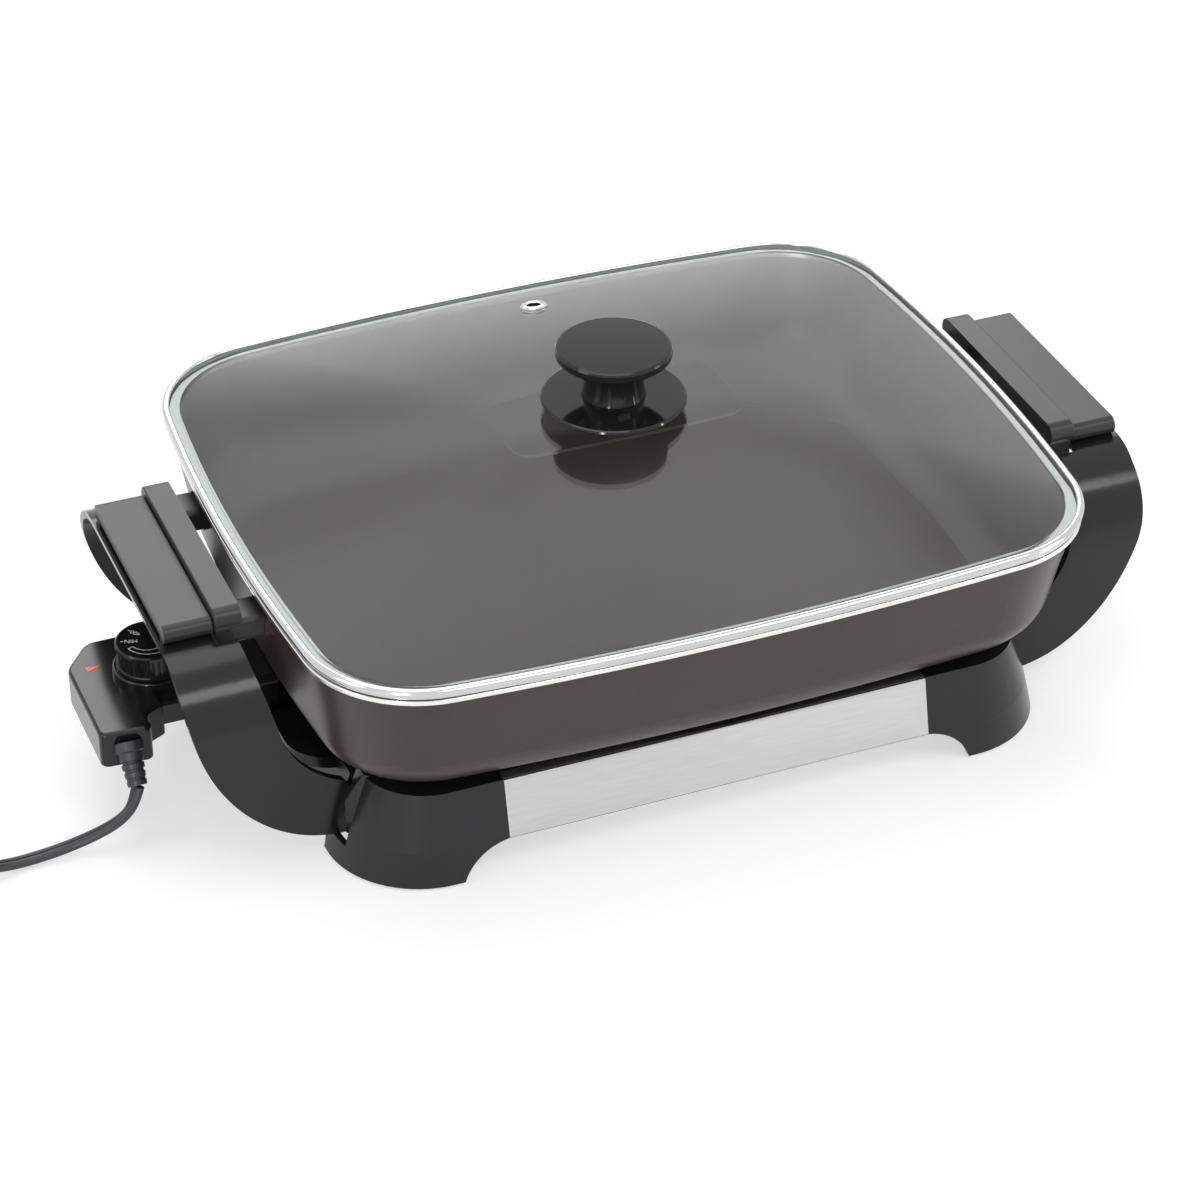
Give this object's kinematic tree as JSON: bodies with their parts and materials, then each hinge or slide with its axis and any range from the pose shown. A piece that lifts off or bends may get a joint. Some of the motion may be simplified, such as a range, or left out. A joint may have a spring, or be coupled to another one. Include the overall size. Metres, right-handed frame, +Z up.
{
  "type": "electric skillet",
  "caption": "Rectangular electric frying pan on an arch-handled base, with a domed glass lid and a plug-in probe control on a coiled mains cord.",
  "frame": {"origin": "under the middle of the base, on the surface the skillet stands on", "axes": "+X along the long side away from the control, +Y to the back, +Z up"},
  "size_m": [0.704, 0.3504, 0.187],
  "materials": {
    "frame_plastic": "semi-gloss black phenolic",
    "gloss_black": "gloss black phenolic",
    "steel_panel": "brushed",
    "screw_steel": "plated",
    "rubber": "matt",
    "shield_steel": "mill",
    "pan_coating": "non-stick coated casting",
    "element": "oxidised",
    "ceramic": "ceramic",
    "rim_steel": "polished",
    "lid_glass": "clear tempered",
    "brass": "turned",
    "pointer": "orange-red",
    "cord_pvc": "matt dark grey",
    "tie": "matt",
    "probe": "polished"
  },
  "bodies": {
    "base": {"base_frame": "frame_plastic", "front_panel": "steel_panel", "rear_panel": "steel_panel", "handle_left": "gloss_black", "handle_right": "gloss_black", "grip_left": "gloss_black", "grip_right": "gloss_black", "handle_screws": "screw_steel", "grip_screws": "screw_steel", "rubber_feet": "rubber", "heat_shield": "shield_steel", "shield_screws": "screw_steel"},
    "pan": {"pan": "pan_coating", "heating_element": "element", "terminal_pins": "probe", "terminal_insulators": "ceramic", "terminal_guard": "frame_plastic", "guard_screws": "screw_steel", "pan_handle_left": "gloss_black", "pan_handle_right": "gloss_black", "pan_handle_screws": "screw_steel"},
    "lid": {"lid_glass": "lid_glass", "lid_rim": "rim_steel", "vent_grommet": "rim_steel", "knob": "gloss_black", "knob_disc": "gloss_black", "knob_insert": "brass", "knob_washer": "rim_steel", "knob_screw": "screw_steel"},
    "control": {"control_housing": "gloss_black", "control_base": "gloss_black", "housing_screws": "screw_steel", "indicator_lens": "pointer", "probe_tube": "probe", "contact_sleeves": "brass", "thermostat_block": "ceramic", "switch_blades": "brass", "strain_relief": "cord_pvc", "cord": "cord_pvc", "cord_coil": "cord_pvc", "coil_tie": "tie", "plug_body": "cord_pvc", "plug_prongs": "brass"},
    "dial": {"dial": "gloss_black", "dial_shaft": "screw_steel"}
  },
  "joints": [
    {"name": "pan_lift", "type": "slide", "parent": "base", "child": "pan", "axis": [0, 0, 1], "range_m": [0, 0.03]},
    {"name": "lid_lift", "type": "slide", "parent": "pan", "child": "lid", "axis": [0, 0, 1], "range_m": [0, 0.15]},
    {"name": "control_pull", "type": "slide", "parent": "pan", "child": "control", "axis": [-1, 0, 0], "range_m": [0, 0.1]},
    {"name": "dial_turn", "type": "hinge", "parent": "control", "child": "dial", "pos_m": [-0.2375, 0, 0.07], "axis": [0, 0, 1], "range_deg": [-300, 0]}
  ]
}
